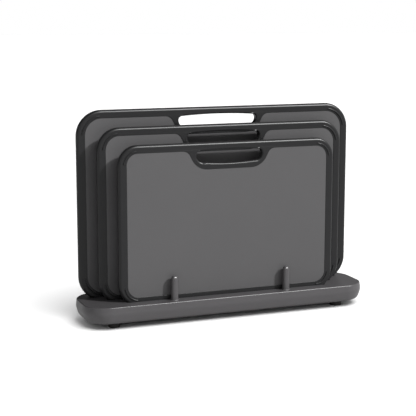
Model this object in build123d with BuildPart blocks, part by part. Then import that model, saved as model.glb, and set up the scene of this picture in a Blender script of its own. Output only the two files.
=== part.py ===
from build123d import *
import os
from math import radians, sqrt, tan

os.makedirs("parts", exist_ok=True)

# Three cutting boards of stepped size, each a hard plate with a soft rim moulded round it,
# stand upright in the channels of a low stand on rubber feet.
# Millimetres. +X is to the right, +Y to the back and +Z up, seen from the front of the small board.
# The origin is on the floor, under the middle of the stand.

# Boards, each in its own place in the row
board_thickness = 10.0
board_pitch = 22.0
small_board_width = 312.8
small_board_height = 215.4
small_board_corner = 27.0
small_slot_length = 98.0
medium_board_width = 356.4
medium_board_height = 237.2
medium_board_corner = 31.0
medium_slot_length = 108.5
large_board_width = 400.0
large_board_height = 259.0
large_board_corner = 35.0
large_slot_length = 119.0

# Rim of a board
rim_width = 11.5
rim_top_width = 11.0
rim_proud = 0.5
rim_edge_radius = 4.0
rim_cover = 3.0
tongue_thickness = 5.0

# Handle slot, with its crowned top and bottom edges
slot_drop = 8.0
slot_height = 22.0
slot_top_crown = 1.7
slot_bottom_crown = 2.8
slot_top_radius = 7.0
slot_bottom_radius = 10.0
slot_lip_radius = 2.4
slot_cover = 2.0
handle_flare = 9.8
handle_taper = 12.4
handle_under = 6.3
handle_top_radius = 9.0
handle_bottom_radius = 25.0

# Raised beads across the corners of the rim
bead_width = 2.2
bead_height = 0.9
bead_draft = 32.0
bead_span = 68.0
bead_gap = 0.2

# Stand
foot_height = 7.5
stand_height = 24.1
stand_margin = 4.0
front_land = 7.6
stand_corner = 33.8
stand_edge_radius = 1.2
belly_drop = 9.4
belly_radius = 13.0
lean_angle = 9.0
tuck_angle = 17.0
foot_round = 8.7
sole_lip = 1.2
wall = 2.5
seat_depth = 5.9
seat_gap = 0.3
channel_clearance = 0.5
channel_end_clearance = 1.5
channel_mouth = 0.4
rib_thickness = 1.6
rib_drop = 5.0
rib_count = 5

# Divider posts that stand on the lands between the channels
post_spacing = 164.0
post_height = 33.0
post_width = 9.8
post_side_flat = 1.0
post_land_edge = 0.8
post_draft = 1.0
post_crown_radius = 3.4
post_flare = 1.3
post_flare_edge = 0.1

# Base plate, its screws and its feet
plate_thickness = 2.5
plate_clearance = 0.25
screw_end_inset = 55.5
screw_side_inset = 18.6
screw_columns = 3
screw_length = 12.0
screw_radius = 1.3
screw_head_radius = 2.8
screw_head_angle = 90.0
screw_clearance = 0.1
boss_wall = 2.7
foot_radius = 8.2
foot_edge = 1.4
foot_end_inset = 41.1
foot_side_inset = 22.6
stem_radius = 3.0
stem_clearance = 0.1
barb_radius = 4.2
barb_height = 3.0

# Levels and plans that follow from the sizes above
stand_top = foot_height + stand_height
board_bottom = stand_top - seat_depth
channel_floor = board_bottom - seat_gap
deck_under = stand_top - wall
trough_under = channel_floor - wall
plate_top = foot_height + plate_thickness
belly_level = stand_top - belly_drop
channel_width = board_thickness + 2 * channel_clearance
core_thickness = board_thickness - 2 * rim_proud
wall_lean = belly_drop * tan(radians(lean_angle))
wall_tuck = (belly_level - foot_height) * tan(radians(tuck_angle))
sole_turn = tan(radians((90 - tuck_angle) / 2))
sole_inset = wall_tuck + foot_round * sole_turn
land_width = board_pitch - channel_width
post_depth = land_width - 2 * post_land_edge
post_corner = (post_depth - post_side_flat) / 2
boards = (
    ("small_board", small_board_width, small_board_height, small_board_corner, small_slot_length, -board_pitch),
    ("medium_board", medium_board_width, medium_board_height, medium_board_corner, medium_slot_length, 0.0),
    ("large_board", large_board_width, large_board_height, large_board_corner, large_slot_length, board_pitch),
)
row_places = [(row - len(boards) / 2) * board_pitch for row in range(len(boards) + 1)]
stand_length = large_board_width + 2 * (stand_margin + wall_lean)
stand_depth = len(boards) * board_pitch + land_width + 2 * (front_land + wall_lean)


def write(builder, name):
    """Label a finished piece and write it."""
    builder.part.label = name
    export_step(builder.part, f"parts/{name}.step")


# ---------------------------------------------------------------- boards


def board_outline(width, height, corner, inset=0.0):
    """Outer outline of a board, drawn in by inset, with the board's lower edge on the X axis."""
    with Locations((0, height / 2)):
        RectangleRounded(width - 2 * inset, height - 2 * inset, corner - inset)


def slot_outline(height, length, grow=0.0):
    """Handle slot below the board's upper edge, its long edges crowned, grown all round."""
    top = height - slot_drop
    bottom = top - slot_height
    half = length / 2
    with BuildSketch(mode=Mode.PRIVATE) as slot:
        with BuildLine():
            ThreePointArc((-half, top - slot_top_crown), (0, top), (half, top - slot_top_crown))
            Line((half, top - slot_top_crown), (half, bottom + slot_bottom_crown))
            ThreePointArc((half, bottom + slot_bottom_crown), (0, bottom), (-half, bottom + slot_bottom_crown))
            Line((-half, bottom + slot_bottom_crown), (-half, top - slot_top_crown))
        make_face()
        fillet(slot.vertices().group_by(Axis.Y)[-1], slot_top_radius)
        fillet(slot.vertices().group_by(Axis.Y)[0], slot_bottom_radius)
        if grow:
            offset(amount=grow)
    return slot.sketch


def panel_outline(width, height, corner, length):
    """Bare panel inside the rim, with the rim's handle bulge let into its upper edge."""
    side = width / 2 - rim_width
    top = height - rim_top_width
    bulge_bottom = height - slot_drop - slot_height - handle_under
    bulge_top = length / 2 + handle_flare
    bulge_foot = bulge_top - handle_taper
    round_corner = corner - rim_width
    right = [(side, rim_width), (side, top), (bulge_top, top), (bulge_foot, bulge_bottom)]
    left = [(-x, y) for x, y in reversed(right)]
    radii = [round_corner, round_corner, handle_top_radius, handle_bottom_radius]
    with BuildLine() as outline:
        FilletPolyline(*right, *left, radius=radii + radii[::-1], close=True)
    make_face(outline.edges())


def bead_outlines(width, height, corner):
    """One rounded bar across each corner of the rim, concentric with the corner."""
    inset = seat_depth + bead_width / 2 + bead_gap
    x = width / 2 - corner
    y = height / 2 - corner
    for middle, sx, sy in ((45, 1, 1), (135, -1, 1), (225, -1, -1), (315, 1, -1)):
        with BuildLine(mode=Mode.PRIVATE) as path:
            CenterArc((sx * x, height / 2 + sy * y), corner - inset, middle - bead_span / 2, bead_span)
        SlotArc(path.line.edge(), bead_width)


for name, width, height, corner, slot_length, place in boards:
    middle = Plane(origin=(0, place, board_bottom), x_dir=(1, 0, 0), z_dir=(0, -1, 0))

    with BuildPart() as core:
        with BuildSketch(middle):
            board_outline(width, height, corner, rim_cover)
            add(slot_outline(height, slot_length, slot_cover), mode=Mode.SUBTRACT)
        extrude(amount=tongue_thickness / 2, both=True)
        with BuildSketch(middle):
            panel_outline(width, height, corner, slot_length)
        extrude(amount=core_thickness / 2, both=True)
    write(core, f"{name}_core")

    with BuildPart() as rim:
        with BuildSketch(middle):
            board_outline(width, height, corner)
        extrude(amount=board_thickness / 2, both=True)
        fillet(rim.faces().filter_by(Axis.Y).edges(), rim_edge_radius)
        with BuildSketch(middle):
            add(slot_outline(height, slot_length))
        extrude(amount=board_thickness / 2, both=True, mode=Mode.SUBTRACT)
        lips = [edge for face in rim.faces().filter_by(Axis.Y) for edge in face.inner_wires().edges()]
        fillet(lips, slot_lip_radius)
        with BuildSketch(middle):
            panel_outline(width, height, corner, slot_length)
        extrude(amount=board_thickness / 2, both=True, mode=Mode.SUBTRACT)
        with BuildSketch(middle):
            board_outline(width, height, corner, rim_cover)
            add(slot_outline(height, slot_length, slot_cover), mode=Mode.SUBTRACT)
        extrude(amount=tongue_thickness / 2, both=True, mode=Mode.SUBTRACT)
        for face in (-1, 1):
            with BuildSketch(middle.offset(face * board_thickness / 2)) as beads:
                bead_outlines(width, height, corner)
            extrude(beads.sketch, amount=bead_height, dir=middle.z_dir * face, taper=bead_draft)
    write(rim, f"{name}_rim")


# ---------------------------------------------------------------- stand


def plan_outline(inset):
    """Plan of the stand, drawn in by inset from its widest line."""
    RectangleRounded(stand_length - 2 * inset, stand_depth - 2 * inset, stand_corner - inset)


def pillow(inset, top, sole):
    """Solid inside the stand's wall, drawn in by inset, up to top, its flat underside drawn in by sole."""
    with BuildPart() as body:
        with BuildSketch(Plane.XY.offset(belly_level)) as belly:
            plan_outline(inset)
        extrude(belly.sketch, amount=top - belly_level, taper=lean_angle)
        extrude(belly.sketch, amount=belly_level - foot_height, dir=(0, 0, -1), taper=tuck_angle)
        fillet(body.edges().group_by(Axis.Z)[0], (sole - inset - wall_tuck) / sole_turn)
    return body.part


def channel_half_length(width, corner):
    """Half the channel's length: as far as the board's round corner reaches at the stand's top."""
    return width / 2 - corner + sqrt(corner**2 - (corner - seat_depth) ** 2) + channel_end_clearance


screw_spacing = (stand_length - 2 * screw_end_inset) / (screw_columns - 1)
screw_columns_x = [(column - (screw_columns - 1) / 2) * screw_spacing for column in range(screw_columns)]
screw_y = stand_depth / 2 - screw_side_inset
screw_places = [(x, y) for x in screw_columns_x for y in (-screw_y, screw_y)]

with BuildPart() as divider_post:
    with BuildSketch():
        RectangleRounded(post_width, post_depth, post_corner)
    extrude(amount=post_height)
    draft(divider_post.faces().filter_by(Axis.Z, reverse=True), Plane.XY, post_draft)
    fillet(divider_post.edges().group_by(Axis.Z)[-1], post_crown_radius)

with BuildPart() as post_root:
    with BuildSketch():
        root_depth = land_width - 2 * (channel_mouth + post_flare_edge)
        RectangleRounded(post_width + 2 * post_flare, root_depth, (root_depth - post_side_flat) / 2)
    extrude(amount=post_flare)
    chamfer(post_root.edges().group_by(Axis.Z)[-1], post_flare - post_flare_edge)

with BuildPart() as stand_hollow:
    add(pillow(wall, deck_under, sole_inset + sole_lip))
    for name, width, height, corner, slot_length, place in boards:
        with BuildSketch(Plane.XY.offset(trough_under)):
            with Locations((0, place)):
                SlotOverall(2 * (channel_half_length(width, corner) + wall), channel_width + 2 * wall)
        extrude(amount=deck_under - trough_under, mode=Mode.SUBTRACT)
    with BuildSketch(Plane.XY.offset(plate_top)):
        with Locations(*screw_places):
            Circle(screw_radius + screw_clearance + boss_wall)
    extrude(amount=deck_under - plate_top, mode=Mode.SUBTRACT)
    with BuildSketch(Plane.XY.offset(trough_under - rib_drop)):
        with GridLocations(stand_length / rib_count, 0, rib_count, 1):
            Rectangle(rib_thickness, stand_depth)
    extrude(amount=deck_under - trough_under + rib_drop, mode=Mode.SUBTRACT)

with BuildPart() as stand_shell:
    add(pillow(0, stand_top, sole_inset))
    fillet(stand_shell.edges().filter_by_position(Axis.Z, belly_level, belly_level), belly_radius)
    fillet(stand_shell.edges().group_by(Axis.Z)[-1], stand_edge_radius)
    add(stand_hollow.part, mode=Mode.SUBTRACT)
    for name, width, height, corner, slot_length, place in boards:
        with BuildSketch(Plane.XY.offset(channel_floor)):
            with Locations((0, place)):
                SlotOverall(2 * channel_half_length(width, corner), channel_width)
        extrude(amount=stand_top - channel_floor, mode=Mode.SUBTRACT)
    mouths = stand_shell.faces().filter_by(GeomType.PLANE).sort_by(Axis.Z)[-1].inner_wires()
    chamfer(mouths.edges(), channel_mouth)
    with BuildSketch(Plane.XY.offset(plate_top)):
        with Locations(*screw_places):
            Circle(screw_radius + screw_clearance)
    extrude(amount=screw_length, mode=Mode.SUBTRACT)
    with Locations(*[(side * post_spacing / 2, y, stand_top) for side in (-1, 1) for y in row_places]):
        add(divider_post.part)
        add(post_root.part)
write(stand_shell, "stand_shell")

foot_x = stand_length / 2 - foot_end_inset
foot_y = stand_depth / 2 - foot_side_inset
foot_places = {
    "foot_front_left": (-foot_x, -foot_y),
    "foot_front_right": (foot_x, -foot_y),
    "foot_rear_left": (-foot_x, foot_y),
    "foot_rear_right": (foot_x, foot_y),
}

with BuildPart() as stand_base_plate:
    with BuildSketch(Plane.XY.offset(foot_height)):
        plan_outline(sole_inset + sole_lip + plate_clearance)
    extrude(amount=plate_thickness)
    with BuildSketch(Plane.XY.offset(foot_height)):
        with Locations(*foot_places.values()):
            Circle(stem_radius + stem_clearance)
    extrude(amount=plate_thickness, mode=Mode.SUBTRACT)
    with Locations(*[(x, y, foot_height) for x, y in screw_places]):
        with Locations(Rotation(180, 0, 0)):
            CounterSinkHole(
                screw_radius + screw_clearance,
                screw_head_radius + screw_clearance,
                depth=plate_thickness,
                counter_sink_angle=screw_head_angle,
            )
write(stand_base_plate, "stand_base_plate")

with BuildPart() as screw:
    head_drop = (screw_head_radius - screw_radius) / tan(radians(screw_head_angle / 2))
    with BuildSketch(Plane.XZ):
        with BuildLine() as half_section:
            Polyline(
                (0, foot_height),
                (screw_head_radius, foot_height),
                (screw_radius, foot_height + head_drop),
                (screw_radius, foot_height + screw_length),
                (0, foot_height + screw_length),
                close=True,
            )
        make_face(half_section.edges())
    revolve(axis=Axis.Z)

with BuildPart() as base_plate_screws:
    with Locations(*screw_places):
        add(screw.part)
write(base_plate_screws, "base_plate_screws")

with BuildPart() as foot:
    with BuildSketch(Plane.XZ):
        with BuildLine() as half_section:
            Polyline(
                (0, 0),
                (foot_radius - foot_edge, 0),
                (foot_radius, foot_edge),
                (foot_radius, foot_height),
                (stem_radius, foot_height),
                (stem_radius, plate_top),
                (barb_radius, plate_top),
                (stem_radius, plate_top + barb_height),
                (0, plate_top + barb_height),
                close=True,
            )
        make_face(half_section.edges())
    revolve(axis=Axis.Z)

for name, (x, y) in foot_places.items():
    with BuildPart() as placed_foot:
        with Locations((x, y)):
            add(foot.part)
    write(placed_foot, name)
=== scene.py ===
import logging
import math
from dataclasses import dataclass, field
from enum import Enum
from typing import Iterable, NamedTuple, Optional, Sequence

import bpy
from mathutils import Euler, Matrix, Vector
from mathutils.geometry import tessellate_polygon


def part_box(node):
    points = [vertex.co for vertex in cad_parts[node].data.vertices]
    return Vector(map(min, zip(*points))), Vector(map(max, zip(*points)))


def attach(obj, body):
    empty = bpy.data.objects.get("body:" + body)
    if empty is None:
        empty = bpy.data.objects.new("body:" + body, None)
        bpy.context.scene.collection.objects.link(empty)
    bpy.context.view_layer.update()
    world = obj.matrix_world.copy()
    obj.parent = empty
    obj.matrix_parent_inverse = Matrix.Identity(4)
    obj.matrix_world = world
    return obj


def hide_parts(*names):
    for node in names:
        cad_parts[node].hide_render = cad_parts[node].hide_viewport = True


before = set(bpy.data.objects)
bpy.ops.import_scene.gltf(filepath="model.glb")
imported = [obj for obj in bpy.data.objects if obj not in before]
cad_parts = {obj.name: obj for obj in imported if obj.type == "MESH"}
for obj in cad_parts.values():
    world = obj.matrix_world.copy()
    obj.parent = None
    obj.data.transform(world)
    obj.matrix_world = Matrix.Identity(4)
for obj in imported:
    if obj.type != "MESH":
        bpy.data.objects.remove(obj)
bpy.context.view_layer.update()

MM = 0.001
LOG = logging.getLogger("board_stand")


def linked(name: str, data: bpy.types.ID) -> bpy.types.Object:
    """Makes an object of some data and links it to the scene."""
    made = bpy.data.objects.new(name, data)
    bpy.context.scene.collection.objects.link(made)
    return made


def report(piece: bpy.types.Object) -> None:
    """Logs one finished piece."""
    LOG.info("%s: %d faces", piece.name, len(piece.data.polygons))


# ---------------------------------------------------------------- outlines and skins


class Lie(Enum):
    """How an outline's plane lies in the frame, and which way its depth runs."""

    FLAT = "plan in XY, depth along Z"
    UPRIGHT = "face in XZ, depth along Y"


class Station(NamedTuple):
    """One point of a section: how far outside the outline, how deep, and the surface's slope on either side.

    A slope is the angle in degrees of the outward normal, from 0, away from the outline, to 90, along +depth.
    """

    out: float
    depth: float
    slope_in: float
    slope_out: float


@dataclass(frozen=True)
class Arc:
    """One round stretch of an outline. The outline runs straight from each arc to the next."""

    x: float
    y: float
    radius: float
    start: float
    sweep: float

    def points(self, grow: float, steps: int) -> list[tuple[float, float, float, float]]:
        """Points along the arc, with their outward normals.

        Args:
            grow: how far outside the outline the points lie, in millimetres.
            steps: how many chords the arc is cut into.

        Returns:
            A list of x, y, normal x and normal y.
        """
        turn = 1.0 if self.sweep >= 0 else -1.0
        radius = self.radius + turn * grow
        found = []
        for step in range(steps + 1):
            angle = math.radians(self.start + self.sweep * step / steps)
            c, s = math.cos(angle), math.sin(angle)
            found.append((self.x + radius * c, self.y + radius * s, turn * c, turn * s))
        return found


@dataclass(frozen=True)
class Outline:
    """A closed outline that runs anticlockwise through its arcs."""

    arcs: tuple[Arc, ...]
    steps: int = 14

    @staticmethod
    def through(corners: Sequence[tuple[float, float]], radii: Sequence[float], steps: int = 14) -> "Outline":
        """Outline of a polygon with rounded corners.

        Args:
            corners: the polygon's corners, anticlockwise.
            radii: one radius for each corner.
            steps: chords in each rounded corner.

        Returns:
            The outline.
        """
        arcs = []
        count = len(corners)
        for i, radius in enumerate(radii):
            here = Vector(corners[i])
            before = (here - Vector(corners[i - 1])).normalized()
            after = (Vector(corners[(i + 1) % count]) - here).normalized()
            turn = math.atan2(before.x * after.y - before.y * after.x, before.dot(after))
            start = here - before * radius * math.tan(abs(turn) / 2)
            side = math.copysign(radius, turn)
            centre = start + Vector((-before.y, before.x)) * side
            angle = math.degrees(math.atan2(start.y - centre.y, start.x - centre.x))
            arcs.append(Arc(centre.x, centre.y, radius, angle, math.degrees(turn)))
        return Outline(tuple(arcs), steps)

    @staticmethod
    def rectangle(width: float, low: float, high: float, radius: float, steps: int = 14) -> "Outline":
        """Rectangle with round corners, centred across, from low to high."""
        half = width / 2
        return Outline.through([(-half, low), (half, low), (half, high), (-half, high)], [radius] * 4, steps)

    def loop(self, grow: float) -> list[tuple[float, float, float, float]]:
        """Every point of the outline grown by some millimetres, with its outward normal."""
        return [point for arc in self.arcs for point in arc.points(grow, self.steps)]


def quarter(out: float, depth: float, radius: float, first: float, last: float, steps: int) -> list[Station]:
    """Stations of a rounded edge.

    Args:
        out: where the round's centre lies outside the outline.
        depth: where the round's centre lies in depth.
        radius: the round's radius; a negative one makes a hollow, whose normals point at the centre.
        first: slope of the first normal, in degrees.
        last: slope of the last normal, in degrees.
        steps: chords in the round.

    Returns:
        The stations in order.
    """
    found = []
    for step in range(steps + 1):
        slope = first + (last - first) * step / steps
        angle = math.radians(slope)
        found.append(Station(out + radius * math.cos(angle), depth + radius * math.sin(angle), slope, slope))
    return found


class Skin:
    """Gathers the faces of one piece, with the exact normal at each corner of each face."""

    def __init__(self, lie: Lie, middle: tuple[float, float, float]) -> None:
        """Starts an empty skin.

        Args:
            lie: how the outlines lie.
            middle: the point of the frame, in metres, where the outline's origin and the depth's zero lie.
        """
        self.lie = lie
        self.middle = Vector(middle)
        self.points: list[Vector] = []
        self.faces: list[tuple[int, ...]] = []
        self.normals: list[Vector] = []

    def _turn(self, x: float, y: float, depth: float) -> Vector:
        """A direction or offset of the outline's plane and depth, in the frame."""
        return Vector((x, y, depth)) if self.lie is Lie.FLAT else Vector((x, depth, y))

    def _face(self, corners: Sequence[int], normals: Sequence[Vector]) -> None:
        """Adds one face, turned so that it faces the way its normals do."""
        a, b, c = (self.points[i] for i in (corners[0], corners[1], corners[-1]))
        facing = (b - a).cross(c - a)
        wanted = sum(normals, Vector())
        order = list(range(len(corners)))
        if facing.dot(wanted) < 0:
            order.reverse()
        self.faces.append(tuple(corners[i] for i in order))
        self.normals.extend(normals[i] for i in order)

    def ring(self, outline: Outline, out: float, depth: float) -> list[int]:
        """Adds the points of an outline at one station and returns their numbers."""
        first = len(self.points)
        loop = outline.loop(out)
        self.points += [self.middle + self._turn(x, y, depth) * MM for x, y, _, _ in loop]
        return list(range(first, first + len(loop)))

    def blend_ring(self, first: Outline, second: Outline, share: float, depth: float) -> list[int]:
        """Adds the points of an outline part of the way from one outline to another.

        Args:
            first: the outline at share 0.
            second: the outline at share 1, with as many points.
            share: how far the ring is on its way.
            depth: the ring's depth.

        Returns:
            The numbers of the points.
        """
        start = len(self.points)
        for (xa, ya, _, _), (xb, yb, _, _) in zip(first.loop(0.0), second.loop(0.0)):
            x, y = xa + (xb - xa) * share, ya + (yb - ya) * share
            self.points.append(self.middle + self._turn(x, y, depth) * MM)
        return list(range(start, len(self.points)))

    def bridge(self, rings: Sequence[Sequence[int]]) -> None:
        """Joins rings by faces that look away from the outline's middle."""
        for low, high in zip(rings, rings[1:]):
            for i in range(len(low)):
                j = (i + 1) % len(low)
                corners = (low[i], low[j], high[j], high[i])
                along = self.points[low[j]] - self.points[low[i]]
                rise = self.points[high[i]] - self.points[low[i]]
                self._face(corners, [along.cross(rise)] * 4)

    def sweep(self, outline: Outline, section: Sequence[Station]) -> tuple[list[int], list[int]]:
        """Carries a section round an outline.

        Args:
            outline: the outline that the section follows.
            section: the section's stations in order.

        Returns:
            The rings at the section's first and last stations.
        """
        around = [(x, y) for _, _, x, y in outline.loop(0.0)]
        rings = [self.ring(outline, s.out, s.depth) for s in section]
        count = len(around)
        for low, high, ring_low, ring_high in zip(section, section[1:], rings, rings[1:]):
            slopes = (math.radians(low.slope_out), math.radians(high.slope_in))
            turned = [
                [self._turn(x * math.cos(a), y * math.cos(a), math.sin(a)) for x, y in around] for a in slopes
            ]
            for i in range(count):
                j = (i + 1) % count
                corners = (ring_low[i], ring_low[j], ring_high[j], ring_high[i])
                self._face(corners, (turned[0][i], turned[0][j], turned[1][j], turned[1][i]))
        return rings[0], rings[-1]

    def cap(self, edge: Sequence[int], holes: Iterable[Sequence[int]], facing: float) -> None:
        """Closes a flat face.

        Args:
            edge: the ring that bounds the face.
            holes: the rings of the holes in it.
            facing: 1 where the face looks along +depth, -1 where it looks along -depth.
        """
        normal = self._turn(0.0, 0.0, facing)
        loops = [list(ring) for ring in (edge, *holes)]
        flat = [i for loop in loops for i in loop]
        up = 1 if self.lie is Lie.FLAT else 2
        plane = [[Vector((self.points[i].x, self.points[i][up], 0.0)) for i in loop] for loop in loops]
        for triangle in tessellate_polygon(plane):
            self._face([flat[i] for i in triangle], [normal] * 3)

    def piece(self, name: str, material: bpy.types.Material, exact: bool = True) -> bpy.types.Object:
        """Makes the gathered faces one object.

        Args:
            name: the object's name.
            material: the object's material.
            exact: whether the faces carry the normals that they were drawn with, or plain smooth ones.

        Returns:
            The object, linked to the scene.
        """
        mesh = bpy.data.meshes.new(name)
        mesh.from_pydata([p[:] for p in self.points], [], self.faces)
        mesh.shade_smooth()
        if exact:
            mesh.normals_split_custom_set([n.normalized()[:] for n in self.normals])
        mesh.materials.append(material)
        return linked(name, mesh)


# ---------------------------------------------------------------- node trees


class Nodes:
    """A node tree of any kind, and short ways of adding to it."""

    def __init__(self, tree: bpy.types.NodeTree) -> None:
        """Takes up a tree."""
        self.tree = tree

    def feed(self, node: bpy.types.Node, values: dict[object, object]) -> None:
        """Gives a node's inputs their values, or links sockets to them, by input name or number."""
        for key, value in values.items():
            if isinstance(value, bpy.types.NodeSocket):
                self.tree.links.new(value, node.inputs[key])
            else:
                node.inputs[key].default_value = value

    def node(
        self, kind: str, values: Optional[dict[object, object]] = None, **settings: object
    ) -> bpy.types.Node:
        """Adds a node.

        Args:
            kind: the node's type name.
            values: values or sockets for its inputs, by input name or number.
            settings: the node's own properties.

        Returns:
            The node.
        """
        node = self.tree.nodes.new(kind)
        for key, value in settings.items():
            setattr(node, key, value)
        self.feed(node, values or {})
        return node

    def maths(self, operation: str, *values: object) -> bpy.types.NodeSocket:
        """Adds a Math node on sockets or numbers and returns its output."""
        return self.node("ShaderNodeMath", dict(enumerate(values)), operation=operation).outputs[0]


class Group(Nodes):
    """A node group with named inputs and one output."""

    def __init__(self, name: str, kind: str) -> None:
        """Starts an empty group.

        Args:
            name: the group's name.
            kind: the type name of its tree.
        """
        super().__init__(bpy.data.node_groups.new(name, kind))
        self.source = self.tree.nodes.new("NodeGroupInput")
        self.sink = self.tree.nodes.new("NodeGroupOutput")

    def given(self, name: str, value: Optional[float] = None, kind: str = "Float") -> bpy.types.NodeSocket:
        """Adds a named input.

        Args:
            name: the input's name.
            value: its first value, where it isn't the kind's own.
            kind: what it carries.

        Returns:
            Its socket inside the group.
        """
        socket = self.tree.interface.new_socket(name=name, in_out="INPUT", socket_type=f"NodeSocket{kind}")
        if value is not None:
            socket.default_value = value
        return self.source.outputs[name]

    def result(self, name: str, value: bpy.types.NodeSocket, kind: str = "Float") -> None:
        """Adds the named output and links its value to it."""
        self.tree.interface.new_socket(name=name, in_out="OUTPUT", socket_type=f"NodeSocket{kind}")
        self.tree.links.new(value, self.sink.inputs[name])


# ---------------------------------------------------------------- shader groups

BROAD_SCALE = 0.02  # the broad mottling's scale, against the fine one's
TOOTH_SCALE = 2.3  # the grain's tooth, against its pits
STREAK_SCALE = 4.0  # the wiping streaks, against the patches
STREAK_STRETCH = 14.0
STREAK_LEAN = 24.0  # degrees
MASK_RANGE = (0.3, 0.7)  # what the handling mask mostly keeps to


class ShaderGroup(Group):
    """A shader node group that works on the object's own coordinates."""

    def __init__(self, name: str) -> None:
        """Starts the group with its coordinates."""
        super().__init__(name, "ShaderNodeTree")
        self.place = self.node("ShaderNodeTexCoord").outputs["Object"]

    def noise(
        self, place: bpy.types.NodeSocket, scale: bpy.types.NodeSocket, detail: float
    ) -> bpy.types.NodeSocket:
        """Adds a noise on some coordinates and returns its value, which is about 0.5 on average."""
        values = {"Vector": place, "Scale": scale, "Detail": detail}
        return self.node("ShaderNodeTexNoise", values).outputs["Fac"]


def mottle_group() -> bpy.types.NodeTree:
    """Fine two-scale mottling: a factor about 1 that a colour is multiplied by."""
    made = ShaderGroup("fine_mottle")
    scale, contrast, drift = made.given("Scale", 900.0), made.given("Contrast", 0.1), made.given("Drift", 0.05)
    fine = made.noise(made.place, scale, detail=3.0)
    broad = made.noise(made.place, made.maths("MULTIPLY", scale, BROAD_SCALE), detail=2.0)
    parts = [
        made.maths("MULTIPLY", made.maths("SUBTRACT", noise, 0.5), share)
        for noise, share in ((fine, contrast), (broad, drift))
    ]
    made.result("Factor", made.maths("ADD", made.maths("ADD", *parts), 1.0))
    return made.tree


def grain_group() -> bpy.types.NodeTree:
    """Height of a moulded grain: shallow pits and a finer tooth."""
    made = ShaderGroup("moulded_grain")
    scale, share = made.given("Scale", 1500.0), made.given("Tooth", 0.4)
    pits = made.node("ShaderNodeTexVoronoi", {"Vector": made.place, "Scale": scale}, feature="SMOOTH_F1")
    tooth = made.noise(made.place, made.maths("MULTIPLY", scale, TOOTH_SCALE), detail=2.0)
    made.result("Height", made.maths("ADD", pits.outputs["Distance"], made.maths("MULTIPLY", tooth, share)))
    return made.tree


def handling_group() -> bpy.types.NodeTree:
    """Mask of hands and cloths on a surface: soft patches with faint wiping streaks, from 0 to 1."""
    made = ShaderGroup("handling")
    scale, share = made.given("Scale", 14.0), made.given("Streaks", 0.35)
    patches = made.noise(made.place, scale, detail=4.0)
    lean = (0.0, math.radians(STREAK_LEAN), 0.0)
    stretch = made.node(
        "ShaderNodeMapping", {"Vector": made.place, "Scale": (1.0, 1.0, STREAK_STRETCH), "Rotation": lean}
    )
    streaks = made.noise(stretch.outputs["Vector"], made.maths("MULTIPLY", scale, STREAK_SCALE), detail=3.0)
    left = made.maths("MULTIPLY", patches, made.maths("SUBTRACT", 1.0, share))
    made.result("Mask", made.maths("ADD", left, made.maths("MULTIPLY", streaks, share)))
    return made.tree


class Groups:
    """The shader groups that the finishes share, each built once."""

    def __init__(self) -> None:
        """Builds the groups."""
        self.mottle = mottle_group()
        self.grain = grain_group()
        self.handling = handling_group()


# ---------------------------------------------------------------- finishes


@dataclass(frozen=True)
class MouldedFinish:
    """A moulded plastic, rubber or metal surface with mottling, grain and traces of handling.

    Roughness is a middle and how far it strays, mottle a scale, contrast and drift, grain a scale, tooth and height in
    millimetres, and handling a scale and the share of streaks.
    """

    name: str
    colour: tuple[float, float, float]
    roughness: tuple[float, float]
    mottle: tuple[float, float, float]
    grain: tuple[float, float, float]
    handling: tuple[float, float] = (14.0, 0.35)
    specular: float = 0.5
    metallic: float = 0.0

    def build(self, groups: Groups) -> bpy.types.Material:
        """Makes the material.

        Args:
            groups: the shared shader groups.

        Returns:
            The finished material.
        """
        material = bpy.data.materials.new(self.name)
        material.use_nodes = True
        nodes = Nodes(material.node_tree)
        looks = {
            "Specular IOR Level": self.specular,
            "Metallic": self.metallic,
            "Base Color": self._colour(nodes, groups),
            "Roughness": self._roughness(nodes, groups),
            "Normal": self._normal(nodes, groups),
        }
        nodes.feed(nodes.tree.nodes["Principled BSDF"], looks)
        return material

    @staticmethod
    def _placed(nodes: Nodes, group: bpy.types.NodeTree, values: Sequence[float]) -> bpy.types.NodeSocket:
        """Places a shared group with its own values and returns its output."""
        return nodes.node("ShaderNodeGroup", dict(enumerate(values)), node_tree=group).outputs[0]

    def _colour(self, nodes: Nodes, groups: Groups) -> bpy.types.NodeSocket:
        """The base colour, mottled."""
        factor = self._placed(nodes, groups.mottle, self.mottle)
        tint = nodes.node("ShaderNodeVectorMath", {0: self.colour, "Scale": factor}, operation="SCALE")
        return tint.outputs["Vector"]

    def _roughness(self, nodes: Nodes, groups: Groups) -> bpy.types.NodeSocket:
        """The roughness, smoother where hands and cloths have been."""
        middle, spread = self.roughness
        span = {
            "Value": self._placed(nodes, groups.handling, self.handling),
            "From Min": MASK_RANGE[0],
            "From Max": MASK_RANGE[1],
            "To Min": middle - spread,
            "To Max": middle + spread,
        }
        return nodes.node("ShaderNodeMapRange", span).outputs["Result"]

    def _normal(self, nodes: Nodes, groups: Groups) -> bpy.types.NodeSocket:
        """The surface normal, with the moulded grain on it."""
        scale, tooth, height = self.grain
        grain = self._placed(nodes, groups.grain, (scale, tooth))
        bump = nodes.node("ShaderNodeBump", {"Strength": 1.0, "Distance": height * MM, "Height": grain})
        return bump.outputs["Normal"]


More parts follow.
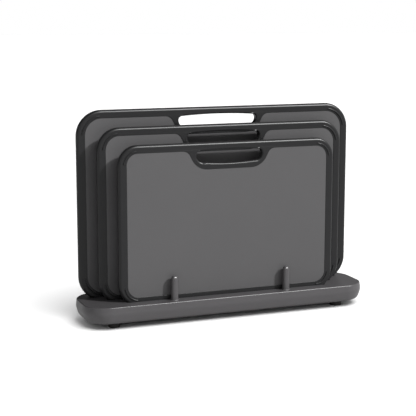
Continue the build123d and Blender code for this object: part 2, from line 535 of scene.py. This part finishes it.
BOARD_PLATE = MouldedFinish(
    "board_plate", (0.102, 0.100, 0.103), roughness=(0.6, 0.05), mottle=(1100.0, 0.22, 0.06), grain=(1400.0, 0.5, 0.02)
)
SOFT_RIM = MouldedFinish(
    "soft_rim",
    (0.020, 0.020, 0.021),
    roughness=(0.33, 0.02),
    mottle=(1500.0, 0.1, 0.05),
    grain=(2200.0, 0.4, 0.003),
    handling=(14.0, 0.15),
    specular=0.35,
)
STAND_PLASTIC = MouldedFinish(
    "stand_plastic",
    (0.097, 0.093, 0.097),
    roughness=(0.31, 0.02),
    mottle=(1300.0, 0.1, 0.05),
    grain=(2000.0, 0.4, 0.003),
    handling=(14.0, 0.15),
    specular=0.62,
)
BASE_PLASTIC = MouldedFinish(
    "base_plastic", (0.05, 0.05, 0.052), roughness=(0.55, 0.06), mottle=(900.0, 0.15, 0.06), grain=(1200.0, 0.5, 0.02)
)
FOOT_RUBBER = MouldedFinish(
    "foot_rubber", (0.012, 0.010, 0.009), roughness=(0.6, 0.08), mottle=(1200.0, 0.2, 0.1), grain=(1500.0, 0.6, 0.02)
)
SCREW_ZINC = MouldedFinish(
    "screw_zinc",
    (0.55, 0.55, 0.57),
    roughness=(0.32, 0.06),
    mottle=(2600.0, 0.1, 0.08),
    grain=(3200.0, 0.5, 0.004),
    metallic=1.0,
)


# ---------------------------------------------------------------- geometry nodes

BEAD_END = 1.2  # length of a bead's rounded end, against its width
BEAD_TIP = 0.04  # size of a bead at the tip of its end, against its middle


class Tree(Group):
    """A geometry node tree, and the modifier work that turns it into a plain mesh."""

    def __init__(self, name: str) -> None:
        """Starts a tree with a geometry input."""
        super().__init__(name, "GeometryNodeTree")
        self.mesh = self.given("Geometry", kind="Geometry")

    def close(self, geometry: bpy.types.NodeSocket, material: bpy.types.NodeSocket) -> None:
        """Ends the tree: instances become real faces with the material."""
        real = self.node("GeometryNodeRealizeInstances", {"Geometry": geometry})
        dressed = self.node("GeometryNodeSetMaterial", {"Geometry": real.outputs[0], "Material": material})
        self.result("Geometry", dressed.outputs[0], kind="Geometry")

    def apply(self, piece: bpy.types.Object, values: dict[str, object]) -> bpy.types.Object:
        """Runs the tree on a piece and keeps the result as the piece's plain mesh.

        Args:
            piece: the object that carries the tree's modifier.
            values: the tree's inputs by name.

        Returns:
            The same object, with a plain mesh and no modifier.
        """
        modifier = piece.modifiers.new("repeat", "NODES")
        modifier.node_group = self.tree
        for item in self.tree.interface.items_tree:
            if item.in_out == "INPUT" and item.name in values:
                modifier[item.identifier] = values[item.name]
        evaluated = piece.evaluated_get(bpy.context.evaluated_depsgraph_get())
        mesh = bpy.data.meshes.new_from_object(evaluated)
        piece.modifiers.remove(modifier)
        piece.data = mesh
        mesh.name = piece.name
        return piece


def grid_tree() -> Tree:
    """Copies of the piece's own mesh on a grid in the XY plane, at the level where the mesh was drawn."""
    made = Tree("copies_on_grid")
    columns, rows = made.given("Columns", kind="Int"), made.given("Rows", kind="Int")
    step_x, step_y = made.given("Step X"), made.given("Step Y")
    material = made.given("Material", kind="Material")
    width = made.maths("MULTIPLY", made.maths("SUBTRACT", columns, 1.0), step_x)
    depth = made.maths("MULTIPLY", made.maths("SUBTRACT", rows, 1.0), step_y)
    grid = made.node(
        "GeometryNodeMeshGrid", {"Size X": width, "Size Y": depth, "Vertices X": columns, "Vertices Y": rows}
    )
    copies = made.node("GeometryNodeInstanceOnPoints", {"Points": grid.outputs["Mesh"], "Instance": made.mesh})
    made.close(copies.outputs[0], material)
    return made


def bead_tree() -> Tree:
    """Half-round beads across the four corners of both faces of a board, concentric with the corners."""
    made = Tree("corner_beads")
    radius, span = made.given("Radius"), made.given("Span")
    width, height = made.given("Width"), made.given("Height")
    corner_x, corner_z = made.given("Corner X"), made.given("Corner Z")
    thickness = made.given("Thickness")
    material = made.given("Material", kind="Material")
    diagonal = math.radians(45.0)
    arc = made.node(
        "GeometryNodeCurveArc",
        {
            "Resolution": 48,
            "Radius": radius,
            "Start Angle": made.maths("SUBTRACT", diagonal, made.maths("MULTIPLY", span, 0.5)),
            "Sweep Angle": span,
        },
        mode="RADIUS",
    )
    along = made.node("GeometryNodeSplineParameter")
    length = made.maths("MULTIPLY", radius, span)
    left = made.maths("MINIMUM", along.outputs["Length"], made.maths("SUBTRACT", length, along.outputs["Length"]))
    end = made.maths("MULTIPLY", width, BEAD_END)
    near = made.maths("SUBTRACT", 1.0, made.maths("DIVIDE", made.maths("MINIMUM", left, end), end))
    round_off = made.maths("SUBTRACT", 1.0, made.maths("MULTIPLY", near, near))
    full = made.maths("SQRT", made.maths("MAXIMUM", round_off, 0.0))
    swell = made.maths("MAXIMUM", full, BEAD_TIP)
    shaped = made.node("GeometryNodeSetCurveRadius", {"Curve": arc.outputs["Curve"], "Radius": swell})
    circle = made.node("GeometryNodeCurvePrimitiveCircle", {"Resolution": 16, "Radius": 1.0})
    half_width = made.maths("MULTIPLY", width, 0.5)
    size = made.node("ShaderNodeCombineXYZ", {"X": half_width, "Y": height, "Z": 1.0})
    section = made.node(
        "GeometryNodeTransform", {"Geometry": circle.outputs["Curve"], "Scale": size.outputs["Vector"]}
    )
    bead = made.node(
        "GeometryNodeCurveToMesh",
        {"Curve": shaped.outputs["Curve"], "Profile Curve": section.outputs["Geometry"], "Fill Caps": True},
    )
    grid = made.node(
        "GeometryNodeMeshGrid",
        {
            "Size X": made.maths("MULTIPLY", corner_x, 2.0),
            "Size Y": made.maths("MULTIPLY", corner_z, 2.0),
            "Vertices X": 2,
            "Vertices Y": 2,
        },
    )
    place = made.node("GeometryNodeInputPosition")
    parts = made.node("ShaderNodeSeparateXYZ", {"Vector": place.outputs["Position"]})
    heading = made.maths("ARCTAN2", made.maths("SIGN", parts.outputs["Y"]), made.maths("SIGN", parts.outputs["X"]))
    turn = made.node("ShaderNodeCombineXYZ", {"Z": made.maths("SUBTRACT", heading, diagonal)})
    corners = made.node(
        "GeometryNodeInstanceOnPoints",
        {"Points": grid.outputs["Mesh"], "Instance": bead.outputs["Mesh"], "Rotation": turn.outputs["Vector"]},
    )
    faces = made.node("GeometryNodeJoinGeometry")
    for side in (-0.5, 0.5):
        shift = made.node("ShaderNodeCombineXYZ", {"Z": made.maths("MULTIPLY", thickness, side)})
        moved = made.node(
            "GeometryNodeTransform",
            {"Geometry": corners.outputs["Instances"], "Translation": shift.outputs["Vector"]},
        )
        made.tree.links.new(moved.outputs["Geometry"], faces.inputs["Geometry"])
    upright = made.node(
        "GeometryNodeTransform",
        {"Geometry": faces.outputs["Geometry"], "Rotation": Euler((math.radians(90.0), 0.0, 0.0))},
    )
    smooth = made.node("GeometryNodeSetShadeSmooth", {"Geometry": upright.outputs["Geometry"]})
    made.close(smooth.outputs["Geometry"], material)
    return made


# ---------------------------------------------------------------- boards


@dataclass
class Board:
    """One cutting board: a hard plate, the soft rim moulded round it and the rim's corner beads.

    Sizes are in millimetres. The board's width, height, thickness and place come from the frame.
    """

    name: str
    corner: float
    slot_length: float
    plate: bpy.types.Material
    rim: bpy.types.Material
    rim_width: float = 11.5
    rim_top_width: float = 10.8
    rim_proud: float = 0.5
    edge_radius: float = 4.0
    inner_radius: float = 0.4
    slot_drop: float = 9.7
    slot_height: float = 18.8
    slot_top_crown: float = 2.4
    slot_bottom_crown: float = 2.8
    slot_top_radius: float = 5.0
    slot_bottom_radius: float = 9.5
    slot_lip: float = 2.4
    flare: float = 11.9
    taper: float = 12.4
    under: float = 7.7
    flare_radius: float = 12.0
    under_radius: float = 25.0
    bead_width: float = 2.2
    bead_height: float = 1.2
    bead_inset: float = 7.6
    bead_span: float = 75.0
    width: float = field(init=False)
    height: float = field(init=False)
    thickness: float = field(init=False)
    middle: tuple[float, float, float] = field(init=False)

    def __post_init__(self) -> None:
        """Takes the board's size and place from its solids."""
        low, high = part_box(f"{self.name}_rim")
        core_low, core_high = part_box(f"{self.name}_core")
        self.width = (high.x - low.x) / MM
        self.height = (high.z - low.z) / MM
        self.thickness = (core_high.y - core_low.y) / MM + 2 * self.rim_proud
        self.middle = (0.0, (low.y + high.y) / 2, low.z)

    def outer(self) -> Outline:
        """The board's outer outline, its lower edge at zero."""
        return Outline.rectangle(self.width, 0.0, self.height, self.corner)

    def window(self) -> Outline:
        """The panel's outline, with the rim's handle bulge let into its upper edge."""
        side = self.width / 2 - self.rim_width
        top = self.height - self.rim_top_width
        foot = self.height - self.slot_drop - self.slot_height - self.under
        wide = self.slot_length / 2 + self.flare
        right = [(side, self.rim_width), (side, top), (wide, top), (wide - self.taper, foot)]
        radii = [self.corner - self.rim_width] * 2 + [self.flare_radius, self.under_radius]
        left = [(-x, y) for x, y in reversed(right)]
        return Outline.through(right + left, radii + radii[::-1])

    def slot(self) -> Outline:
        """The handle slot's outline: crowned edges between four round corners."""
        half = self.slot_length / 2
        top = self.height - self.slot_drop
        ends = []
        for edge, sign, crown, radius in (
            (top, 1.0, self.slot_top_crown, self.slot_top_radius),
            (top - self.slot_height, -1.0, self.slot_bottom_crown, self.slot_bottom_radius),
        ):
            sweep_radius = (half**2 + crown**2) / (2 * crown)
            centre = edge - sign * sweep_radius
            rise = math.sqrt((sweep_radius - radius) ** 2 - (half - radius) ** 2)
            lean = math.degrees(math.atan2(rise, half - radius))
            ends.append((centre, centre + sign * rise, sweep_radius, radius, lean))
        (top_c, top_y, top_r, top_k, top_a), (low_c, low_y, low_r, low_k, low_a) = ends
        return Outline(
            (
                Arc(half - low_k, low_y, low_k, -low_a, low_a),
                Arc(half - top_k, top_y, top_k, 0.0, top_a),
                Arc(0.0, top_c, top_r, top_a, 180.0 - 2 * top_a),
                Arc(top_k - half, top_y, top_k, 180.0 - top_a, top_a),
                Arc(low_k - half, low_y, low_k, 180.0, low_a),
                Arc(0.0, low_c, low_r, 180.0 + low_a, 180.0 - 2 * low_a),
            )
        )

    def _edge(self, radius: float, hole: bool) -> list[Station]:
        """Section through the rim's edge from face to face, with both corners rounded.

        Args:
            radius: the rounding of each corner.
            hole: true where the edge looks into a hole.

        Returns:
            The section's stations, from the front face to the back.
        """
        flat = self.thickness / 2 - radius
        if hole:
            front = quarter(radius, -flat, radius, 270.0, 180.0, steps=6)
            back = quarter(radius, flat, radius, 180.0, 90.0, steps=6)
        else:
            front = quarter(-radius, -flat, radius, -90.0, 0.0, steps=8)
            back = quarter(-radius, flat, radius, 0.0, 90.0, steps=8)
        return front + back

    def build_rim(self) -> bpy.types.Object:
        """The soft rim: rolled outer edge, lipped handle slot and the window that holds the plate."""
        skin = Skin(Lie.UPRIGHT, self.middle)
        edge = skin.sweep(self.outer(), self._edge(self.edge_radius, False))
        slot = skin.sweep(self.slot(), self._edge(self.slot_lip, True))
        window = skin.sweep(self.window(), self._edge(self.inner_radius, True))
        for face, facing in ((0, -1.0), (1, 1.0)):
            skin.cap(edge[face], [slot[face], window[face]], facing)
        return skin.piece(f"{self.name}_soft_rim", self.rim)

    def build_plate(self) -> bpy.types.Object:
        """The hard plate, as far as the rim's window shows it."""
        half = self.thickness / 2 - self.rim_proud
        section = [Station(0.0, -half, 0.0, 0.0), Station(0.0, half, 0.0, 0.0)]
        skin = Skin(Lie.UPRIGHT, self.middle)
        front, back = skin.sweep(self.window(), section)
        skin.cap(front, [], -1.0)
        skin.cap(back, [], 1.0)
        return skin.piece(f"{self.name}_plate", self.plate)

    def build_beads(self, tree: Tree) -> bpy.types.Object:
        """The raised beads on both faces of the rim."""
        mesh = bpy.data.meshes.new(f"{self.name}_corner_beads")
        beads = linked(mesh.name, mesh)
        tree.apply(
            beads,
            {
                "Radius": (self.corner - self.bead_inset) * MM,
                "Span": math.radians(self.bead_span),
                "Width": self.bead_width * MM,
                "Height": self.bead_height * MM,
                "Corner X": (self.width / 2 - self.corner) * MM,
                "Corner Z": (self.height / 2 - self.corner) * MM,
                "Thickness": self.thickness * MM,
                "Material": self.rim,
            },
        )
        x, y, z = self.middle
        beads.data.transform(Matrix.Translation((x, y, z + self.height / 2 * MM)))
        return beads

    def build(self, beads: Tree) -> None:
        """Builds the board's pieces and lets them ride with its solids."""
        rim = self.build_rim()
        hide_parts(f"{self.name}_rim")
        plate = self.build_plate()
        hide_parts(f"{self.name}_core")
        ridges = self.build_beads(beads)
        for piece in (rim, plate, ridges):
            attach(piece, self.name)
            report(piece)


# ---------------------------------------------------------------- stand


@dataclass
class Stand:
    """The moulded stand: a pillow-shaped body with three channels, divider posts, a base plate and screws.

    Sizes are in millimetres. The body's length, depth and levels come from the frame.
    """

    boards: Sequence[Board]
    plastic: bpy.types.Material
    base: bpy.types.Material
    zinc: bpy.types.Material
    corner: float = 33.8
    top_radius: float = 1.2
    belly_drop: float = 9.4
    belly_radius: float = 13.0
    lean: float = 9.0
    tuck: float = 17.0
    foot_round: float = 8.7
    sole_lip: float = 1.2
    seat_depth: float = 5.9
    seat_gap: float = 0.3
    channel_clearance: float = 0.5
    end_clearance: float = 1.5
    mouth_radius: float = 0.4
    post_height: float = 33.0
    post_width: float = 9.8
    post_depth: float = 9.4
    post_corner: float = 4.2
    post_taper: float = 0.58
    post_dome: float = 3.5
    post_dome_height: float = 4.6
    root_height: float = 1.6
    root_width: float = 12.6
    root_depth: float = 10.0
    post_spacing: float = 164.0
    pitch: float = 22.0
    recess: float = 2.7
    length: float = field(init=False)
    depth: float = field(init=False)
    under: float = field(init=False)
    top: float = field(init=False)

    def __post_init__(self) -> None:
        """Takes the body's size and levels from its solid."""
        low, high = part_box("stand_shell")
        self.length = 2 * min(-low.x, high.x) / MM
        self.depth = 2 * min(-low.y, high.y) / MM
        self.under = low.z / MM
        self.top = high.z / MM - self.post_height

    def plan(self) -> Outline:
        """The body's plan, as wide as its walls would be without the rounding of the belly."""
        trim = -max(station.out for station in self.wall())
        half = self.depth / 2 + trim
        return Outline.rectangle(self.length + 2 * trim, -half, half, self.corner, steps=20)

    def wall(self) -> list[Station]:
        """Section of the body's wall, from the underside round to the deck."""
        belly = self.top - self.belly_drop
        lean_in = self.belly_drop * math.tan(math.radians(self.lean))
        tuck_in = (belly - self.under) * math.tan(math.radians(self.tuck))
        inner, spare = -60.0, 1.0  # the inner corners only close the section, and the wall leaves them out
        section = Outline.through(
            [(inner, self.under), (-tuck_in, self.under), (0.0, belly), (-lean_in, self.top), (inner, self.top)],
            [spare, self.foot_round, self.belly_radius, self.top_radius, spare],
            steps=10,
        )
        stations = []
        for arc in section.arcs[1:4]:
            for out, level, away, up in arc.points(0.0, section.steps):
                slope = math.degrees(math.atan2(up, away))
                stations.append(Station(out, level, slope, slope))
        return stations

    def channel(self, board: Board) -> Outline:
        """Plan of the channel that a board stands in."""
        reach = math.sqrt(board.corner**2 - (board.corner - self.seat_depth) ** 2)
        half = board.width / 2 - board.corner + reach + self.end_clearance
        wide = board.thickness / 2 + self.channel_clearance
        place = board.middle[1] / MM
        return Outline.rectangle(2 * half, place - wide, place + wide, wide, steps=8)

    def build_body(self) -> bpy.types.Object:
        """The body with its open channels and the recess that takes the base plate."""
        skin = Skin(Lie.FLAT, (0.0, 0.0, 0.0))
        _, deck = skin.sweep(self.plan(), self.wall())
        floor = self.top - self.seat_depth - self.seat_gap
        mouths = []
        for board in self.boards:
            radius = self.mouth_radius
            mouth = quarter(radius, self.top - radius, radius, 90.0, 180.0, steps=4)
            foot = [Station(0.0, floor, 180.0, 180.0)]
            opening, bed = skin.sweep(self.channel(board), mouth + foot)
            mouths.append(opening)
            skin.cap(bed, [], 1.0)
        skin.cap(deck, mouths, 1.0)
        edge = self.wall()[0].out
        sole = [
            Station(edge, self.under, -90.0, -90.0),
            Station(edge - self.sole_lip, self.under, -90.0, 180.0),
            Station(edge - self.sole_lip, self.under + self.recess, 180.0, 180.0),
        ]
        _, ceiling = skin.sweep(self.plan(), sole)
        skin.cap(ceiling, [], -1.0)
        return skin.piece("stand_body", self.plastic)

    def _post_plan(self, width: float, depth: float) -> Outline:
        """Plan of a post at one level, with the same flats between its corners at every level."""
        flat = self.post_depth - 2 * self.post_corner
        return Outline.rectangle(width, -depth / 2, depth / 2, (depth - flat) / 2, steps=8)

    def build_posts(self, tree: Tree) -> bpy.types.Object:
        """The divider posts, two in each of four rows, flared at the root and domed on top."""
        steps = 7
        shaft = self._post_plan(self.post_width, self.post_depth)
        root = self._post_plan(self.root_width, self.root_depth)
        skin = Skin(Lie.FLAT, (0.0, 0.0, 0.0))
        rings = []
        for step in range(steps):
            angle = math.radians(90.0 * step / steps)
            level = self.top + self.root_height * (1.0 - math.cos(angle))
            rings.append(skin.blend_ring(root, shaft, math.sin(angle), level))
        crown = self.top + self.post_height
        shoulder = crown - self.post_dome_height
        rings.append(skin.ring(shaft, 0.0, self.top + self.root_height))
        rings.append(skin.ring(shaft, -self.post_taper, shoulder))
        for step in range(1, steps + 1):
            angle = math.radians(90.0 * step / steps)
            inset = self.post_taper + self.post_dome * (1.0 - math.cos(angle))
            rings.append(skin.ring(shaft, -inset, shoulder + self.post_dome_height * math.sin(angle)))
        skin.bridge(rings)
        skin.cap(rings[-1], [], 1.0)
        posts = skin.piece("divider_posts", self.plastic, exact=False)
        tree.apply(
            posts,
            {
                "Columns": 2,
                "Rows": len(self.boards) + 1,
                "Step X": self.post_spacing * MM,
                "Step Y": self.pitch * MM,
                "Material": self.plastic,
            },
        )
        return posts

    def build(self, grid: Tree) -> None:
        """Builds the stand's pieces and dresses the solids that stay."""
        body = self.build_body()
        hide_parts("stand_shell")
        posts = self.build_posts(grid)
        for piece in (body, posts):
            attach(piece, "stand")
            report(piece)
        for node, material in (("stand_base_plate", self.base), ("base_plate_screws", self.zinc)):
            dress(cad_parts[node], material)


def dress(node: bpy.types.Object, material: bpy.types.Material) -> None:
    """Gives a solid that stays its material."""
    node.data.materials.clear()
    node.data.materials.append(material)
    LOG.info("%s: dressed", node.name)


@dataclass
class Foot:
    """One rubber foot, turned, with a rolled lower edge and a shallow hollow in its sole. Millimetres."""

    name: str
    rubber: bpy.types.Material
    edge_radius: float = 1.6
    sole_radius: float = 5.0
    sole_hollow: float = 0.6
    hollow_band: float = 1.0
    hollow_wall: float = 0.4
    hollow_slope: float = -150.0

    def build(self) -> None:
        """Builds the foot in the place of its solid."""
        low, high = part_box(self.name)
        shell_low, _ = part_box("stand_shell")
        radius = (high.x - low.x) / 2 / MM
        rise = shell_low.z / MM
        middle = ((low.x + high.x) / 2, (low.y + high.y) / 2, 0.0)
        edge = self.edge_radius
        circle = Outline.rectangle(2 * radius, -radius, radius, radius, steps=12)
        sole = self.sole_radius - radius
        section = [
            Station(sole - self.hollow_band, self.sole_hollow, -90.0, -90.0),
            Station(sole, self.sole_hollow, -90.0, self.hollow_slope),
            Station(sole + self.hollow_wall, 0.0, self.hollow_slope, -90.0),
            *quarter(-edge, edge, edge, -90.0, 0.0, steps=7),
            Station(0.0, rise, 0.0, 90.0),
        ]
        skin = Skin(Lie.FLAT, middle)
        bottom, top = skin.sweep(circle, section)
        skin.cap(bottom, [], -1.0)
        skin.cap(top, [], 1.0)
        piece = skin.piece(f"{self.name}_rubber", self.rubber)
        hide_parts(self.name)
        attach(piece, "stand")
        report(piece)


# ---------------------------------------------------------------- studio


@dataclass(frozen=True)
class Sun:
    """A far light that falls on the floor alone (INCLUDE) or on all but the floor (EXCLUDE).

    The azimuth is in degrees from the front towards the right, the elevation in degrees above the floor, the strength
    is the irradiance square to the light, and the spread is its width in degrees.
    """

    name: str
    azimuth: float
    elevation: float
    strength: float
    spread: float
    on_floor: str
    diffuse: bool = True

    def build(self, floor: bpy.types.Object) -> None:
        """Makes the light.

        Args:
            floor: the floor, which the light is linked to.
        """
        data = bpy.data.lights.new(self.name, "SUN")
        data.energy = self.strength
        data.angle = math.radians(self.spread)
        lamp = linked(self.name, data)
        lamp.rotation_euler = (math.radians(90.0 - self.elevation), 0.0, math.radians(self.azimuth))
        lamp.visible_diffuse = self.diffuse
        receivers = bpy.data.collections.new(f"{self.name}_receivers")
        receivers.objects.link(floor)
        receivers.collection_objects[0].light_linking.link_state = self.on_floor
        lamp.light_linking.receiver_collection = receivers


@dataclass(frozen=True)
class Studio:
    """A white studio: pale floor, white backdrop, the lights and a faint fill round the object.

    The key lights the object and the glint shows only in its reflections. The wash and the dome light the floor.
    """

    suns: tuple[Sun, ...] = (
        Sun("key", 49.0, 37.5, 2.78, 4.0, "EXCLUDE"),
        Sun("wash", 20.0, 60.0, 3.15, 45.0, "INCLUDE"),
        Sun("glint", 29.0, 41.0, 3.1, 20.0, "EXCLUDE", diffuse=False),
        Sun("dome", 0.0, 90.0, 1.15, 160.0, "INCLUDE"),
    )
    camera_place: tuple[float, float, float] = (-0.5672, -1.4260, 0.4093)
    camera_tilt: float = 80.269
    camera_yaw: float = -20.945
    camera_lens: float = 97.68
    front_fill: float = 0.55
    front_fill_way: tuple[float, float, float] = (-0.7, -0.7, 0.148)
    side_fill: float = 0.754
    side_fill_way: tuple[float, float, float] = (0.989, 0.0, 0.148)
    fill_falloff: float = 2.0
    floor_white: float = 0.9
    floor_bounce: float = 0.44
    floor_roughness: float = 0.7
    floor_specular: float = 0.2
    floor_size: float = 40.0

    def build(self) -> None:
        """Builds the camera, the surroundings, the floor and the lights."""
        self._camera()
        self._surroundings()
        floor = self._floor()
        for sun in self.suns:
            sun.build(floor)

    def _camera(self) -> None:
        """The camera, as it was fitted to the photograph."""
        data = bpy.data.cameras.new("camera")
        data.lens = self.camera_lens
        data.sensor_width = 36.0
        data.clip_end = 100.0
        camera = linked("camera", data)
        camera.location = self.camera_place
        camera.rotation_euler = (math.radians(self.camera_tilt), 0.0, math.radians(self.camera_yaw))
        bpy.context.scene.camera = camera

    def _surroundings(self) -> None:
        """Dark surroundings with a soft fill at the front left and the right, and plain white to the camera."""
        world = bpy.data.worlds.new("studio")
        world.use_nodes = True
        nodes = Nodes(world.node_tree)
        place = nodes.node("ShaderNodeTexCoord").outputs["Generated"]
        fill = 0.0
        for way, strength in ((self.front_fill_way, self.front_fill), (self.side_fill_way, self.side_fill)):
            facing = nodes.node("ShaderNodeVectorMath", {0: place, 1: way}, operation="DOT_PRODUCT")
            ahead = nodes.maths("MAXIMUM", facing.outputs["Value"], 0.0)
            soft = nodes.maths("POWER", ahead, self.fill_falloff)
            fill = nodes.maths("MULTIPLY_ADD", soft, strength, fill)
        seen = nodes.node("ShaderNodeLightPath").outputs["Is Camera Ray"]
        plain = nodes.node("ShaderNodeMix", {"Factor": seen, "A": fill, "B": 1.0}).outputs["Result"]
        nodes.feed(nodes.tree.nodes["Background"], {"Strength": plain, "Color": (1.0, 1.0, 1.0, 1.0)})
        bpy.context.scene.world = world

    def _floor(self) -> bpy.types.Object:
        """A wide pale floor, whiter to the camera than to the object."""
        mesh = bpy.data.meshes.new("floor")
        half = self.floor_size / 2
        mesh.from_pydata([(-half, -half, 0), (half, -half, 0), (half, half, 0), (-half, half, 0)], [], [(0, 1, 2, 3)])
        material = bpy.data.materials.new("floor")
        material.use_nodes = True
        nodes = Nodes(material.node_tree)
        seen = nodes.node("ShaderNodeLightPath").outputs["Is Camera Ray"]
        shade = nodes.node("ShaderNodeMix", {"Factor": seen}, data_type="RGBA")
        colours = [socket for socket in shade.inputs if socket.type == "RGBA"]
        for socket, white in zip(colours, (self.floor_bounce, self.floor_white)):
            socket.default_value = (white, white, white, 1.0)
        result = next(socket for socket in shade.outputs if socket.type == "RGBA")
        looks = {"Base Color": result, "Roughness": self.floor_roughness, "Specular IOR Level": self.floor_specular}
        nodes.feed(nodes.tree.nodes["Principled BSDF"], looks)
        mesh.materials.append(material)
        floor = linked("floor", mesh)
        return floor


def main() -> None:
    """Builds the studio, the boards, the stand and the feet, in that order."""
    logging.basicConfig(level=logging.INFO, format="%(name)s %(message)s")
    view = bpy.context.scene.view_settings
    view.view_transform = "Standard"
    view.look = "None"
    Studio().build()
    groups = Groups()
    plate, rim = BOARD_PLATE.build(groups), SOFT_RIM.build(groups)
    boards = [
        Board("small_board", corner=27.0, slot_length=95.6, plate=plate, rim=rim),
        Board("medium_board", corner=31.0, slot_length=105.0, plate=plate, rim=rim),
        Board("large_board", corner=35.0, slot_length=113.8, plate=plate, rim=rim),
    ]
    beads = bead_tree()
    for board in boards:
        board.build(beads)
    plastic, base, zinc = (finish.build(groups) for finish in (STAND_PLASTIC, BASE_PLASTIC, SCREW_ZINC))
    Stand(boards, plastic, base, zinc).build(grid_tree())
    rubber = FOOT_RUBBER.build(groups)
    for name in sorted(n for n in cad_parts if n.startswith("foot_")):
        Foot(name, rubber).build()


if __name__ == "__main__":
    main()
